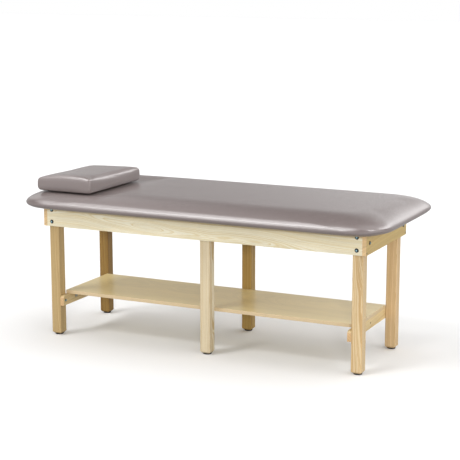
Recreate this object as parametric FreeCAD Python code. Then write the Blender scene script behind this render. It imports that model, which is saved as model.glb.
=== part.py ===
import FreeCAD, Part
import math
import os

# A six-legged wooden treatment table with a padded top, a loose head pillow
# and a low storage shelf. Lengths are in millimetres, +Z is up, and the
# origin is on the floor under the middle of the padded top. +X points to the
# foot end, the pillow lies at the head end (-X), and the front is -Y.

V = FreeCAD.Vector
X_AXIS = V(1, 0, 0)
Y_AXIS = V(0, 1, 0)
Z_AXIS = V(0, 0, 1)

# Frame of boards on edge
frame_length = 1780.0
frame_width = 590.0
frame_top = 700.0
apron_height = 110.0
board_thickness = 20.0
board_edge_radius = 1.5

# Six square legs on round glides
leg_side = 55.0
leg_edge_radius = 4.0
leg_foot_chamfer = 8.0
middle_leg_shift = 37.0
glide_diameter = 42.0
glide_height = 7.0
glide_edge_radius = 2.0
glide_recess_diameter = 12.0
glide_recess_depth = 3.0
glide_screw_diameter = 4.0
glide_screw_head = 8.0
glide_screw_length = 30.0

# Padded top: plywood deck, foam and a stretched vinyl cover
pad_overhang_head = 82.0
pad_overhang_foot = 126.0
pad_overhang_side = 152.0
pad_rise = 78.0
pad_corner_radius = 152.0
cover_thickness = 1.2
nose_depth_low = 63.0
nose_depth_high = 120.0
nose_height_low = 20.8
cover_flap = 15.0
deck_thickness = 15.0
deck_edge_foam = 3.0
soft_gap = 0.3

# Loose pillow
pillow_length = 324.0
pillow_width = 524.0
pillow_height = 75.0
pillow_head_inset = 78.0
pillow_side_shift = -91.0
pillow_corner_radius = 20.0
pillow_crown = 4.0
pillow_edge_low = 16.0
pillow_edge_high = 18.0
pillow_crown_margin = 3.0
pillow_crown_run = 90.0
pillow_crown_ring_shares = (0.0, 0.5, 1.0)
pillow_rest_gap = 0.3

# Storage shelf on two end rails and a stretcher
shelf_top = 234.0
shelf_thickness = 18.0
shelf_leg_gap = 5.0
shelf_end_overlap = 3.0
shelf_corner_radius = 3.0
rail_height = 54.0
rail_corner_radius = 20.0
stretcher_height = 45.0
stretcher_thickness = 20.0

# Carriage bolts with domed heads, washers and hexagon nuts
bolt_diameter = 8.0
bolt_head_diameter = 21.0
bolt_head_height = 5.0
bolt_neck_length = 5.0
bolt_tip = 3.0
bolt_clearance = 0.2
washer_diameter = 20.0
washer_thickness = 1.6
nut_across_flats = 13.0
nut_height = 6.5
apron_bolt_edge = 24.0
crossbar_bolt_edge = 20.0

# Shelf rail bolts with button heads in threaded inserts
rail_bolt_inset = 20.0
rail_bolt_head = 14.0
rail_bolt_head_height = 4.4
rail_bolt_length = 50.0
rail_bolt_socket = 5.0
rail_bolt_socket_depth = 2.5
insert_diameter = 12.0
insert_length = 25.0
insert_bore_extra = 8.0

# Wood screws
screw_diameter = 4.5
screw_head = 9.0
screw_head_height = 3.0
screw_clearance = 0.15
end_screw_length = 60.0
end_screw_edge = 12.0
stretcher_screw_length = 60.0
stretcher_screw_drop = 26.0
middle_screw_length = 58.0
middle_screw_sink = 12.0
middle_screw_spacing = 45.0
middle_screw_drop = 40.0

# Inner pieces under the deck
crossbar_height = 80.0
cleat_side = 25.0
cleat_end_gap = 6.0
deck_screw_length = 36.0
cleat_screw_length = 38.0
cleat_screw_margin = 60.0
cleat_screw_step = 30.0
cleat_screw_rows = 3

# Steel angle brackets under the shelf
bracket_leg = 30.0
bracket_width = 22.0
bracket_thickness = 2.0
bracket_offset = 150.0
bracket_hole = 4.0
bracket_screw_diameter = 3.5
bracket_screw_head = 7.0
bracket_screw_head_height = 2.0
bracket_screw_length = 13.0

cut_overrun = 1.0

# Places worked out from the sizes above
pad_length = frame_length + pad_overhang_head + pad_overhang_foot
pad_width = frame_width + 2 * pad_overhang_side
frame_head = pad_overhang_head - pad_length / 2
frame_foot = pad_length / 2 - pad_overhang_foot
frame_mid = (frame_head + frame_foot) / 2
frame_front = -frame_width / 2
frame_bottom = frame_top - apron_height
leg_out_y = frame_width / 2 - board_thickness
leg_mid_y = leg_out_y - leg_side / 2
leg_in_y = leg_out_y - leg_side
leg_head_x = frame_head + board_thickness + leg_side / 2
leg_foot_x = frame_foot - board_thickness - leg_side / 2
leg_middle_x = frame_mid + middle_leg_shift
leg_places_x = {"head": leg_head_x, "middle": leg_middle_x, "foot": leg_foot_x}
leg_places_y = {"front": -leg_mid_y, "back": leg_mid_y}
rail_head_x = leg_head_x + leg_side / 2
rail_foot_x = leg_foot_x - leg_side / 2
shelf_bottom = shelf_top - shelf_thickness
shelf_width = 2 * (leg_in_y - shelf_leg_gap)
rail_bolt_y = leg_out_y - rail_bolt_inset
rail_mid_z = shelf_bottom - rail_height / 2
bolt_grip = board_thickness + leg_side
nut_reach = washer_thickness + nut_height + bolt_tip
bolt_length = bolt_grip + nut_reach
crossbar_x = leg_middle_x + leg_side / 2
cover_bottom = frame_top - cover_thickness
pad_top = frame_top + pad_rise
pillow_x = pillow_head_inset + pillow_length / 2 - pad_length / 2


def box(x0, y0, z0, x1, y1, z1):
    return Part.makeBox(x1 - x0, y1 - y0, z1 - z0, V(x0, y0, z0))


def rod(diameter, start, direction, length):
    return Part.makeCylinder(diameter / 2, length, start, direction)


def turned(profile, start, direction):
    """Revolve a half profile in X and Z about Z, then aim it along a direction."""
    face = Part.Face(Part.Wire(profile))
    solid = face.revolve(V(0, 0, 0), Z_AXIS, 360)
    return placed(solid, start, direction)


def placed(shape, start, direction):
    turn = FreeCAD.Rotation(Z_AXIS, direction)
    moved = shape.copy()
    moved.Placement = FreeCAD.Placement(start, turn)
    return moved


def outline(points):
    """Straight edges through (x, z) points, the last joined to the first."""
    corners = [V(x, 0, z) for x, z in points]
    pairs = zip(corners, corners[1:] + corners[:1])
    return [Part.LineSegment(a, b).toShape() for a, b in pairs]


def save(name, solids):
    shape = solids[0] if len(solids) == 1 else Part.makeCompound(solids)
    shape.exportStep("parts/" + name + ".step")


def edges_along(shape, axis):
    """The straight edges of a shape that run along one axis."""
    found = []
    for edge in shape.Edges:
        way = edge.Vertexes[-1].Point - edge.Vertexes[0].Point
        if way.Length > 0 and abs(way.normalize().dot(axis)) > 1 - 1e-6:
            found.append(edge)
    return found


def rounded_outline(length, width, radius, z, middle_x=0.0, middle_y=0.0):
    """A rectangle in plan with rounded corners, as one closed wire."""
    turn = math.sqrt(0.5)
    edges = []
    last = None
    first = None
    for way_x, way_y in ((1, -1), (1, 1), (-1, 1), (-1, -1)):
        center = V(
            middle_x + way_x * (length / 2 - radius),
            middle_y + way_y * (width / 2 - radius),
            z,
        )
        along_y = center + V(0, way_y * radius, 0)
        along_x = center + V(way_x * radius, 0, 0)
        bend = center + V(way_x * radius * turn, way_y * radius * turn, 0)
        start, end = (along_y, along_x) if way_x * way_y < 0 else (along_x, along_y)
        if last is not None:
            edges.append(Part.LineSegment(last, start).toShape())
        edges.append(Part.Arc(start, bend, end).toShape())
        first = start if first is None else first
        last = end
    edges.append(Part.LineSegment(last, first).toShape())
    return Part.Wire(edges)


# Screws, bolts, washers and nuts, each drawn with its head at z = 0 and its
# shank running down +Z


def wood_screw(length, start, direction):
    r_head = screw_head / 2
    r_shank = screw_diameter / 2
    profile = outline(
        [
            (0, 0),
            (r_head, 0),
            (r_shank, screw_head_height),
            (r_shank, length - screw_diameter),
            (0, length),
        ]
    )
    return turned(profile, start, direction)


def screw_hole(length, start, direction, sink=0.0):
    """The pilot hole and countersink for a wood screw, a little larger than it."""
    r_head = screw_head / 2 + screw_clearance
    r_shank = screw_diameter / 2 + screw_clearance
    profile = outline(
        [
            (0, -sink - cut_overrun),
            (r_head, -sink - cut_overrun),
            (r_head, 0),
            (r_shank, screw_head_height),
            (r_shank, length + screw_clearance),
            (0, length + screw_clearance),
        ]
    )
    return turned(profile, start, direction)


def carriage_bolt(length, start, direction):
    r_head = bolt_head_diameter / 2
    sphere = (r_head**2 + bolt_head_height**2) / (2 * bolt_head_height)
    half = math.asin(r_head / sphere) / 2
    middle = V(sphere * math.sin(half), 0, sphere - bolt_head_height - sphere * math.cos(half))
    crown = V(0, 0, -bolt_head_height)
    rim = V(r_head, 0, 0)
    profile = [
        Part.Arc(crown, middle, rim).toShape(),
        Part.LineSegment(rim, V(0, 0, 0)).toShape(),
        Part.LineSegment(V(0, 0, 0), crown).toShape(),
    ]
    head = Part.Face(Part.Wire(profile)).revolve(V(0, 0, 0), Z_AXIS, 360)
    half_neck = bolt_diameter / 2
    neck = box(-half_neck, -half_neck, 0, half_neck, half_neck, bolt_neck_length)
    shank = rod(bolt_diameter, V(0, 0, 0), Z_AXIS, length)
    return placed(head.fuse([neck, shank]).removeSplitter(), start, direction)


def carriage_hole(length, start, direction):
    half_neck = bolt_diameter / 2 + bolt_clearance
    neck_end = bolt_neck_length + bolt_clearance
    neck = box(-half_neck, -half_neck, -cut_overrun, half_neck, half_neck, neck_end)
    shank = rod(bolt_diameter + 2 * bolt_clearance, V(0, 0, 0), Z_AXIS, length)
    return placed(neck.fuse(shank), start, direction)


def washer(start, direction):
    disc = rod(washer_diameter, start, direction, washer_thickness)
    bore = rod(bolt_diameter + 2 * bolt_clearance, start, direction, washer_thickness)
    return disc.cut(bore)


def hex_nut(start, direction):
    radius = nut_across_flats / math.sqrt(3)
    corners = []
    for step in range(6):
        angle = math.radians(60 * step)
        corners.append(V(radius * math.cos(angle), radius * math.sin(angle), 0))
    blank = Part.Face(Part.makePolygon(corners + corners[:1])).extrude(Z_AXIS * nut_height)
    bore = rod(bolt_diameter + 2 * bolt_clearance, V(0, 0, 0), Z_AXIS, nut_height)
    return placed(blank.cut(bore), start, direction)


def rail_bolt(start, direction):
    """A button head bolt with a hexagon socket."""
    r_head = rail_bolt_head / 2
    r_top = r_head - rail_bolt_head_height / 2
    profile = outline(
        [
            (0, -rail_bolt_head_height),
            (r_top, -rail_bolt_head_height),
            (r_head, -rail_bolt_head_height / 2),
            (r_head, 0),
            (bolt_diameter / 2, 0),
            (bolt_diameter / 2, rail_bolt_length),
            (0, rail_bolt_length),
        ]
    )
    solid = Part.Face(Part.Wire(profile)).revolve(V(0, 0, 0), Z_AXIS, 360)
    radius = rail_bolt_socket / math.sqrt(3)
    corners = []
    for step in range(6):
        angle = math.radians(60 * step)
        x, y = radius * math.cos(angle), radius * math.sin(angle)
        corners.append(V(x, y, -rail_bolt_head_height - cut_overrun))
    socket_face = Part.Face(Part.makePolygon(corners + corners[:1]))
    socket = socket_face.extrude(Z_AXIS * (rail_bolt_socket_depth + cut_overrun))
    return placed(solid.cut(socket), start, direction)


# Where the fasteners sit: each place is a head's seat and the way it drives in


def apron_bolt_places():
    """Two bolts through the apron into each end leg, front and back."""
    places = []
    for side in (-1, 1):
        for x in (leg_head_x, leg_foot_x):
            for z in (frame_top - apron_bolt_edge, frame_bottom + apron_bolt_edge):
                places.append((V(x, side * frame_width / 2, z), Y_AXIS * -side))
    return places


def end_bolt_places():
    """One bolt at mid height through each end board into each leg."""
    z = frame_bottom + apron_height / 2
    places = []
    for x, way in ((frame_head, X_AXIS), (frame_foot, X_AXIS * -1)):
        for y in (-leg_mid_y, leg_mid_y):
            places.append((V(x, y, z), way))
    return places


def crossbar_bolt_places():
    """Two bolts through the crossbar into each middle leg."""
    places = []
    for y in (-leg_mid_y, leg_mid_y):
        for z in (frame_top - crossbar_bolt_edge, frame_top - crossbar_height + crossbar_bolt_edge):
            places.append((V(crossbar_x + board_thickness, y, z), X_AXIS * -1))
    return places


def rail_bolt_places():
    places = []
    for x, way in (
        (rail_head_x + board_thickness, X_AXIS * -1),
        (rail_foot_x - board_thickness, X_AXIS),
    ):
        for y in (-rail_bolt_y, rail_bolt_y):
            places.append((V(x, y, rail_mid_z), way))
    return places


def end_screw_places():
    """Screws through the end boards into the end grain of the aprons."""
    places = []
    for x, way in ((frame_head, X_AXIS), (frame_foot, X_AXIS * -1)):
        for side in (-1, 1):
            y = side * (frame_width / 2 - board_thickness / 2)
            for z in (frame_top - end_screw_edge, frame_bottom + end_screw_edge):
                places.append((V(x, y, z), way))
    return places


def stretcher_screw_places():
    z = shelf_bottom - stretcher_screw_drop
    return [
        (V(rail_head_x, 0, z), X_AXIS),
        (V(rail_foot_x, 0, z), X_AXIS * -1),
    ]


def middle_screw_places():
    """Screws sunk in the inner face of each middle leg and run into the apron."""
    places = []
    for side in (-1, 1):
        y = side * (leg_in_y + middle_screw_sink)
        for row in (0, 1):
            z = frame_top - middle_screw_drop - row * middle_screw_spacing
            places.append((V(leg_middle_x, y, z), Y_AXIS * side))
    return places


def cleat_spans():
    """The start and end of each deck cleat along X."""
    return [
        (rail_head_x + cleat_end_gap, leg_middle_x - leg_side / 2 - nut_reach - cleat_end_gap),
        (crossbar_x + board_thickness + cleat_end_gap, rail_foot_x - cleat_end_gap),
    ]


def cleat_rows():
    """The screw places along X in both spans of cleat."""
    rows = []
    for start, end in cleat_spans():
        for row in range(cleat_screw_rows):
            share = row / (cleat_screw_rows - 1)
            rows.append(start + cleat_screw_margin + share * (end - start - 2 * cleat_screw_margin))
    return rows


def deck_screw_places():
    z = frame_top - cleat_side
    y = leg_out_y - cleat_side / 2
    return [(V(x, side * y, z), Z_AXIS) for side in (-1, 1) for x in cleat_rows()]


def cleat_screw_places():
    z = frame_top - cleat_side / 2
    y = leg_out_y - cleat_side
    places = []
    for side in (-1, 1):
        for x in cleat_rows():
            places.append((V(x + cleat_screw_step, side * y, z), Y_AXIS * side))
    return places


def bracket_places():
    """Each bracket's inner corner, under the shelf against a rail."""
    places = []
    for x, way in (
        (rail_head_x + board_thickness, 1),
        (rail_foot_x - board_thickness, -1),
    ):
        for y in (-bracket_offset, bracket_offset):
            places.append((x, y, way))
    return places


def bracket_screw_places():
    places = []
    reach = bracket_thickness + (bracket_leg - bracket_thickness) / 2
    for x, y, way in bracket_places():
        under = V(x + way * reach, y, shelf_bottom - bracket_thickness)
        beside = V(x + way * bracket_thickness, y, shelf_bottom - reach)
        places.append((under, Z_AXIS))
        places.append((beside, X_AXIS * -way))
    return places


def bolt_holes():
    places = apron_bolt_places() + end_bolt_places() + crossbar_bolt_places()
    return [carriage_hole(bolt_length, start, way) for start, way in places]


# Wooden pieces


def eased_board(x0, y0, z0, x1, y1, z1, axis):
    """A board whose long edges are lightly rounded."""
    board = box(x0, y0, z0, x1, y1, z1)
    return board.makeFillet(board_edge_radius, edges_along(board, axis))


def make_aprons():
    """The long boards between the end boards, drilled for bolts and screws."""
    cutters = bolt_holes()
    cutters += [screw_hole(end_screw_length, p, way) for p, way in end_screw_places()]
    cutters += [screw_hole(middle_screw_length, p, way) for p, way in middle_screw_places()]
    cutters += [screw_hole(cleat_screw_length, p, way) for p, way in cleat_screw_places()]
    x0 = frame_head + board_thickness
    x1 = frame_foot - board_thickness
    for name, y0 in (("front_apron", frame_front), ("back_apron", leg_out_y)):
        y1 = y0 + board_thickness
        board = eased_board(x0, y0, frame_bottom, x1, y1, frame_top, X_AXIS)
        save(name, [board.cut(cutters)])


def make_end_boards():
    """The short boards whose end grain shows at the front corners."""
    cutters = bolt_holes()
    cutters += [screw_hole(end_screw_length, p, way) for p, way in end_screw_places()]
    for name, x0 in (
        ("head_end_board", frame_head),
        ("foot_end_board", frame_foot - board_thickness),
    ):
        x1 = x0 + board_thickness
        y1 = frame_width / 2
        board = eased_board(x0, frame_front, frame_bottom, x1, y1, frame_top, Y_AXIS)
        save(name, [board.cut(cutters)])


def leg_blank(x, y):
    """A square leg with rounded edges, drawn in at the foot by a chamfer."""
    shoulder = glide_height + leg_foot_chamfer
    sole_side = leg_side - 2 * leg_foot_chamfer
    sole = rounded_outline(sole_side, sole_side, leg_edge_radius, glide_height, x, y)
    full = rounded_outline(leg_side, leg_side, leg_edge_radius, shoulder, x, y)
    foot = Part.makeLoft([sole, full], True, True)
    post = Part.Face(full).extrude(Z_AXIS * (frame_top - shoulder))
    return post.fuse(foot).removeSplitter()


def make_legs():
    """Six legs; each stands in the frame and runs up to the deck."""
    cutters = bolt_holes()
    cutters += [
        screw_hole(middle_screw_length, p, way, middle_screw_sink)
        for p, way in middle_screw_places()
    ]
    for start, way in rail_bolt_places():
        seat = start + way * board_thickness
        hole = rod(insert_diameter + 2 * bolt_clearance, seat, way, insert_length)
        tip = rod(bolt_diameter + 2 * bolt_clearance, seat, way, insert_length + insert_bore_extra)
        cutters += [hole, tip]
    for side, y in leg_places_y.items():
        for end, x in leg_places_x.items():
            foot = V(x, y, glide_height)
            pilot = rod(glide_screw_diameter, foot, Z_AXIS, glide_screw_length)
            save("leg_" + side + "_" + end, [leg_blank(x, y).cut(cutters + [pilot])])


def make_glides():
    """Round black feet, recessed below for the screw that holds each one."""
    glides = []
    screws = []
    for y in leg_places_y.values():
        for x in leg_places_x.values():
            disc = rod(glide_diameter, V(x, y, 0), Z_AXIS, glide_height)
            rim = [e for e in disc.Edges if e.BoundBox.ZMax < glide_height / 2]
            disc = disc.makeFillet(glide_edge_radius, rim)
            recess = rod(glide_recess_diameter, V(x, y, 0), Z_AXIS, glide_recess_depth)
            bore = rod(glide_screw_diameter, V(x, y, 0), Z_AXIS, glide_height)
            glides.append(disc.cut([recess, bore]))
            head_base = glide_recess_depth - glide_screw_diameter / 2
            head = rod(glide_screw_head, V(x, y, head_base), Z_AXIS, glide_screw_diameter / 2)
            reach = glide_height - glide_recess_depth + glide_screw_length
            shank = rod(glide_screw_diameter, V(x, y, glide_recess_depth), Z_AXIS, reach)
            screws.append(head.fuse(shank))
    save("leg_glides", glides)
    save("glide_screws", screws)


def make_shelf():
    """The storage board between the legs, resting on the two end rails."""
    x0 = rail_head_x - shelf_end_overlap
    x1 = rail_foot_x + shelf_end_overlap
    half = shelf_width / 2
    board = box(x0, -half, shelf_bottom, x1, half, shelf_top)
    board = board.makeFillet(shelf_corner_radius, edges_along(board, Z_AXIS))
    long_edges = edges_along(board, X_AXIS)
    board = board.makeFillet(board_edge_radius, long_edges)
    save("shelf_board", [board.cut(bracket_screw_holes())])


def bracket_screw_holes():
    diameter = bracket_screw_diameter + 2 * screw_clearance
    holes = []
    for start, way in bracket_screw_places():
        holes.append(rod(diameter, start, way, bracket_screw_length + screw_clearance))
    return holes


def rail_profile(x):
    """A rail seen from its end: square below, large round corners above."""
    radius = rail_corner_radius
    low = shelf_bottom - rail_height
    turn = radius * (1 - math.sqrt(0.5))
    half = leg_out_y
    points = {
        "low_front": V(x, -half, low),
        "side_front": V(x, -half, shelf_bottom - radius),
        "bend_front": V(x, turn - half, shelf_bottom - turn),
        "top_front": V(x, radius - half, shelf_bottom),
        "top_back": V(x, half - radius, shelf_bottom),
        "bend_back": V(x, half - turn, shelf_bottom - turn),
        "side_back": V(x, half, shelf_bottom - radius),
        "low_back": V(x, half, low),
    }
    edges = [
        Part.LineSegment(points["low_front"], points["side_front"]),
        Part.Arc(points["side_front"], points["bend_front"], points["top_front"]),
        Part.LineSegment(points["top_front"], points["top_back"]),
        Part.Arc(points["top_back"], points["bend_back"], points["side_back"]),
        Part.LineSegment(points["side_back"], points["low_back"]),
        Part.LineSegment(points["low_back"], points["low_front"]),
    ]
    return Part.Wire([edge.toShape() for edge in edges])


def make_shelf_rails():
    """The two cross rails bolted to the inner side of the end legs."""
    cutters = bracket_screw_holes()
    cutters += [
        screw_hole(stretcher_screw_length, p, way) for p, way in stretcher_screw_places()
    ]
    for start, way in rail_bolt_places():
        hole_start = start - way * cut_overrun
        reach = board_thickness + 2 * cut_overrun
        cutters.append(rod(bolt_diameter + 2 * bolt_clearance, hole_start, way, reach))
    for name, x in (
        ("head_shelf_rail", rail_head_x),
        ("foot_shelf_rail", rail_foot_x - board_thickness),
    ):
        rail = Part.Face(rail_profile(x)).extrude(X_AXIS * board_thickness)
        save(name, [rail.cut(cutters)])


def make_shelf_stretcher():
    """The stiffener on edge under the middle of the shelf."""
    half = stretcher_thickness / 2
    x0 = rail_head_x + board_thickness
    x1 = rail_foot_x - board_thickness
    low = shelf_bottom - stretcher_height
    bar = box(x0, -half, low, x1, half, shelf_bottom)
    cutters = [screw_hole(stretcher_screw_length, p, way) for p, way in stretcher_screw_places()]
    save("shelf_stretcher", [bar.cut(cutters)])


def make_shelf_brackets():
    """Small steel angles that hold the shelf down on its rails."""
    brackets = []
    half = bracket_width / 2
    for x, y, way in bracket_places():
        far = x + way * bracket_leg
        near = x + way * bracket_thickness
        low = shelf_bottom - bracket_leg
        flat_z = shelf_bottom - bracket_thickness
        flat = box(min(x, far), y - half, flat_z, max(x, far), y + half, shelf_bottom)
        upright = box(min(x, near), y - half, low, max(x, near), y + half, flat_z)
        angle = flat.fuse(upright).removeSplitter()
        holes = []
        for start, drive in bracket_screw_places():
            hole_start = start - drive * cut_overrun
            reach = bracket_thickness + 2 * cut_overrun
            holes.append(rod(bracket_hole, hole_start, drive, reach))
        brackets.append(angle.cut(holes))
    screws = []
    for start, drive in bracket_screw_places():
        head_start = start - drive * bracket_screw_head_height
        head = rod(bracket_screw_head, head_start, drive, bracket_screw_head_height)
        shank = rod(bracket_screw_diameter, start, drive, bracket_screw_length)
        screws.append(head.fuse(shank))
    save("shelf_brackets", brackets)
    save("shelf_bracket_screws", screws)


def make_crossbar():
    """The upper bar across the table, bolted to the two middle legs."""
    low = frame_top - crossbar_height
    x1 = crossbar_x + board_thickness
    bar = eased_board(crossbar_x, -leg_out_y, low, x1, leg_out_y, frame_top, Y_AXIS)
    save("middle_crossbar", [bar.cut(bolt_holes())])


def make_cleats():
    """Square battens screwed to the aprons; the deck is screwed to them."""
    cutters = [screw_hole(deck_screw_length, p, way) for p, way in deck_screw_places()]
    cutters += [screw_hole(cleat_screw_length, p, way) for p, way in cleat_screw_places()]
    cleats = []
    for side in (-1, 1):
        for x0, x1 in cleat_spans():
            near = side * leg_out_y
            far = side * (leg_out_y - cleat_side)
            low = frame_top - cleat_side
            cleat = box(x0, min(near, far), low, x1, max(near, far), frame_top)
            cleats.append(cleat.cut(cutters))
    save("deck_cleats", cleats)


# Fasteners


def make_fasteners():
    """Bolts, washers, nuts, inserts and screws, alike ones together."""
    board_bolts = [("apron_bolts", apron_bolt_places()), ("end_board_bolts", end_bolt_places())]
    board_bolts.append(("crossbar_bolts", crossbar_bolt_places()))
    washers = []
    nuts = []
    for name, places in board_bolts:
        save(name, [carriage_bolt(bolt_length, start, way) for start, way in places])
        for start, way in places:
            seat = start + way * bolt_grip
            washers.append(washer(seat, way))
            nuts.append(hex_nut(seat + way * washer_thickness, way))
    save("bolt_washers", washers)
    save("bolt_nuts", nuts)
    save("shelf_rail_bolts", [rail_bolt(start, way) for start, way in rail_bolt_places()])
    inserts = []
    for start, way in rail_bolt_places():
        seat = start + way * board_thickness
        body = rod(insert_diameter, seat, way, insert_length)
        bore = rod(bolt_diameter + 2 * bolt_clearance, seat, way, insert_length)
        inserts.append(body.cut(bore))
    save("shelf_rail_inserts", inserts)
    for name, length, places in (
        ("end_board_screws", end_screw_length, end_screw_places()),
        ("stretcher_screws", stretcher_screw_length, stretcher_screw_places()),
        ("middle_leg_screws", middle_screw_length, middle_screw_places()),
        ("deck_screws", deck_screw_length, deck_screw_places()),
        ("cleat_screws", cleat_screw_length, cleat_screw_places()),
    ):
        save(name, [wood_screw(length, start, way) for start, way in places])


# Padded top


def pad_outline(inset, z):
    """The plan outline of the pad, drawn in by an inset."""
    length = pad_length - 2 * inset
    width = pad_width - 2 * inset
    return rounded_outline(length, width, pad_corner_radius - inset, z)


def nose_section(grow):
    """A closed section through the padded edge, from a corner's axis outwards.

    The edge rolls under in a short curve and domes far in on top. Grow moves
    the whole section out (or in, when negative).
    """
    widest = cover_bottom + nose_height_low
    low = V(pad_corner_radius - nose_depth_low, 0, widest)
    high = V(pad_corner_radius - nose_depth_high, 0, widest)
    tip = V(pad_corner_radius + grow, 0, widest)
    under = low - Z_AXIS * (nose_height_low + grow)
    crest = high + Z_AXIS * (pad_top - widest + grow)
    roll = Part.Arc(Part.Ellipse(tip, under, low), 0, math.pi / 2)
    dome = Part.Arc(Part.Ellipse(tip, crest, high), 0, math.pi / 2)
    edges = [roll.toShape(), dome.toShape()]
    corners = [under, V(0, 0, under.z), V(0, 0, crest.z), crest]
    edges += [Part.makeLine(p, q) for p, q in zip(corners, corners[1:])]
    return Part.Face(Part.Wire(Part.__sortEdges__(edges)))


def pad_form(grow):
    """The pad's body: its edge section run along the sides and round the corners."""
    section = nose_section(grow)
    half_length = pad_length / 2 - pad_corner_radius
    half_width = pad_width / 2 - pad_corner_radius
    core = box(-half_length, -half_width, cover_bottom - grow, half_length, half_width, pad_top + grow)
    quarter = section.revolve(V(0, 0, 0), Z_AXIS, 90)
    end = section.extrude(Y_AXIS * (2 * half_width))
    side = section.extrude(Y_AXIS * (2 * half_length))
    places = [
        (quarter, half_length, half_width, 0),
        (quarter, -half_length, half_width, 90),
        (quarter, -half_length, -half_width, 180),
        (quarter, half_length, -half_width, 270),
        (end, half_length, -half_width, 0),
        (side, half_length, half_width, 90),
        (end, -half_length, half_width, 180),
        (side, -half_length, -half_width, 270),
    ]
    pieces = []
    for shape, x, y, turn in places:
        piece = shape.copy()
        piece.Placement = FreeCAD.Placement(V(x, y, 0), FreeCAD.Rotation(Z_AXIS, turn))
        pieces.append(piece)
    return core.multiFuse(pieces).removeSplitter()


def plan_prism(inset, z0, z1):
    """An upright solid with the pad's core outline, drawn in by an inset."""
    return Part.Face(pad_outline(nose_depth_low + inset, z0)).extrude(Z_AXIS * (z1 - z0))


def make_pad():
    """Deck, foam and cover; the cover wraps under the deck and stops in a flap."""
    deck_top = frame_top + deck_thickness
    deck = plan_prism(deck_edge_foam, frame_top, deck_top)
    deck_holes = [screw_hole(deck_screw_length, p, way) for p, way in deck_screw_places()]
    save("deck_board", [deck.cut(deck_holes)])
    deck_space = plan_prism(deck_edge_foam - soft_gap, cover_bottom, deck_top)
    save("pad_foam", [pad_form(-cover_thickness - soft_gap).cut(deck_space)])
    opening = plan_prism(cover_flap, cover_bottom - cut_overrun, frame_top + cut_overrun)
    save("pad_cover", [pad_form(0).cut([pad_form(-cover_thickness), opening])])


# Pillow


def pillow_outline(inset, z, radius=pillow_corner_radius):
    """The plan outline of the pillow, drawn in by an inset."""
    length = pillow_length - 2 * inset
    width = pillow_width - 2 * inset
    return rounded_outline(length, width, radius, z, pillow_x, pillow_side_shift)


def pillow_crown_form(base):
    """The low mound on the pillow's flat upper face."""
    margin = pillow_edge_high + pillow_crown_margin
    rings = []
    for share in pillow_crown_ring_shares:
        height = base + pillow_crown * math.sin(math.pi / 2 * share)
        rings.append(pillow_outline(margin + share * pillow_crown_run, height))
    return Part.makeLoft(rings, True, False)


def pillow_form(grow):
    """The pillow's body: a block with soft edges and a low crown on top.

    Grow moves the whole surface out (or in, when negative).
    """
    base = pad_top + pillow_rest_gap - grow
    shoulder = pad_top + pillow_rest_gap + pillow_height - pillow_crown + grow
    plan = pillow_outline(-grow, base, pillow_corner_radius + grow)
    block = Part.Face(plan).extrude(Z_AXIS * (shoulder - base))
    above = [e for e in block.Edges if e.BoundBox.ZMin > (base + shoulder) / 2]
    block = block.makeFillet(pillow_edge_high + grow, above)
    below = [e for e in block.Edges if e.BoundBox.ZMax < base + pillow_edge_low / 2]
    block = block.makeFillet(pillow_edge_low + grow, below)
    return block.fuse(pillow_crown_form(shoulder))


def make_pillow():
    """A foam block in a sewn cover, lying loose on the pad."""
    save("pillow_foam", [pillow_form(-cover_thickness - soft_gap)])
    save("pillow_cover", [pillow_form(0).cut(pillow_form(-cover_thickness))])


os.makedirs("parts", exist_ok=True)
make_aprons()
make_end_boards()
make_legs()
make_glides()
make_shelf()
make_shelf_rails()
make_shelf_stretcher()
make_shelf_brackets()
make_crossbar()
make_cleats()
make_fasteners()
make_pad()
make_pillow()
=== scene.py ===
import math
import bmesh
import bpy
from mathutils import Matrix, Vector


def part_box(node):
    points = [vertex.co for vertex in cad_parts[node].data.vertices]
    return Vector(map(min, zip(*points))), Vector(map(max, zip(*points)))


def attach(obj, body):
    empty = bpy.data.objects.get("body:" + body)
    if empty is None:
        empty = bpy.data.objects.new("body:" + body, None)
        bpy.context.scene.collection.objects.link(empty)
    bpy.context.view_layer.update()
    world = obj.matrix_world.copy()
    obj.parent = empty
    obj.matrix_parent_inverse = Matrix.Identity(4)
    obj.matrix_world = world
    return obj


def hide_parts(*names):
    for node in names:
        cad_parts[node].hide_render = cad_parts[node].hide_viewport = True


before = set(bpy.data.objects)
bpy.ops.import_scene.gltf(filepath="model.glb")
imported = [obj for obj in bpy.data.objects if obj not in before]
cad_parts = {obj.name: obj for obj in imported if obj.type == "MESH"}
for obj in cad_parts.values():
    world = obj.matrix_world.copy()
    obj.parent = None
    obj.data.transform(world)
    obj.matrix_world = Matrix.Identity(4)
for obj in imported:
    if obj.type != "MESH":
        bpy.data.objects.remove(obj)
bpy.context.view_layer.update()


# Legs. Six square posts of planed ash, each sawn from another part of the
# plank, so their grain and tint differ. The back legs at the head and the middle
# are also painted much darker: painted shade for the shadow under the top and
# shelf. They stand inside the frame and are finished with a thin satin varnish.

def paint(red, green, blue):
    """A colour given as it looks on paper, 0 to 255, as the linear RGBA that a shader takes."""
    full, foot, gamma = 255, 0.055, 2.4
    linear = [((c / full + foot) / (1 + foot)) ** gamma for c in (red, green, blue)]
    return (*linear, 1.0)


def feed(tree, socket, value):
    """Link a socket from another one, or give it a plain value."""
    if isinstance(value, bpy.types.NodeSocket):
        tree.links.new(value, socket)
    else:
        socket.default_value = value


def calc(tree, operation, a, b=0.0, c=0.0):
    """One sum of a shader; each of its terms is a socket or a number."""
    made = tree.nodes.new("ShaderNodeMath")
    made.operation = operation
    for socket, value in zip(made.inputs, (a, b, c)):
        feed(tree, socket, value)
    return made.outputs[0]


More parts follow.
